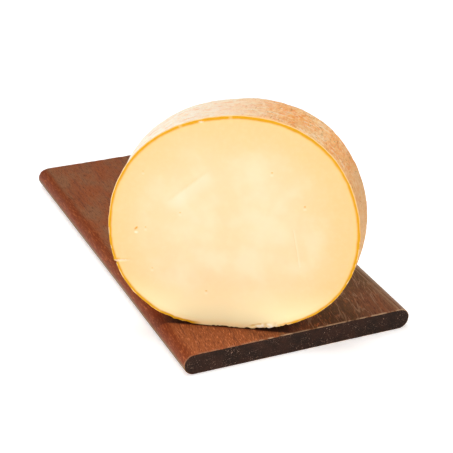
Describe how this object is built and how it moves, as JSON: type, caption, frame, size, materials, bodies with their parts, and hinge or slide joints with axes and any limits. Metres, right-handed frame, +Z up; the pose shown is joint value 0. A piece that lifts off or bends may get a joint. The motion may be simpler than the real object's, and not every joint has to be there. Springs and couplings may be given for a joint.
{
  "type": "cut half wheel of cheese on a wooden board",
  "caption": "Round thick-rinded semi-hard cheese, cut flat across so its whole pale cut face shows, standing on its rim near one end of a dark hardwood serving board with rounded long edges.",
  "frame": {"origin": "centre of the board's flat underside", "axes": "+Z up from the surface that the board lies on; +Y along the board, away from the end that the cheese stands near; +X across the board, to the right of someone who looks along +Y"},
  "size_m": [0.2309, 0.3774, 0.2],
  "materials": {
    "dark_hardwood": "satin",
    "cheese": "satin"
  },
  "bodies": {
    "root": {"cheese_board": "dark_hardwood", "cheese_half_wheel": "cheese"}
  },
  "joints": []
}
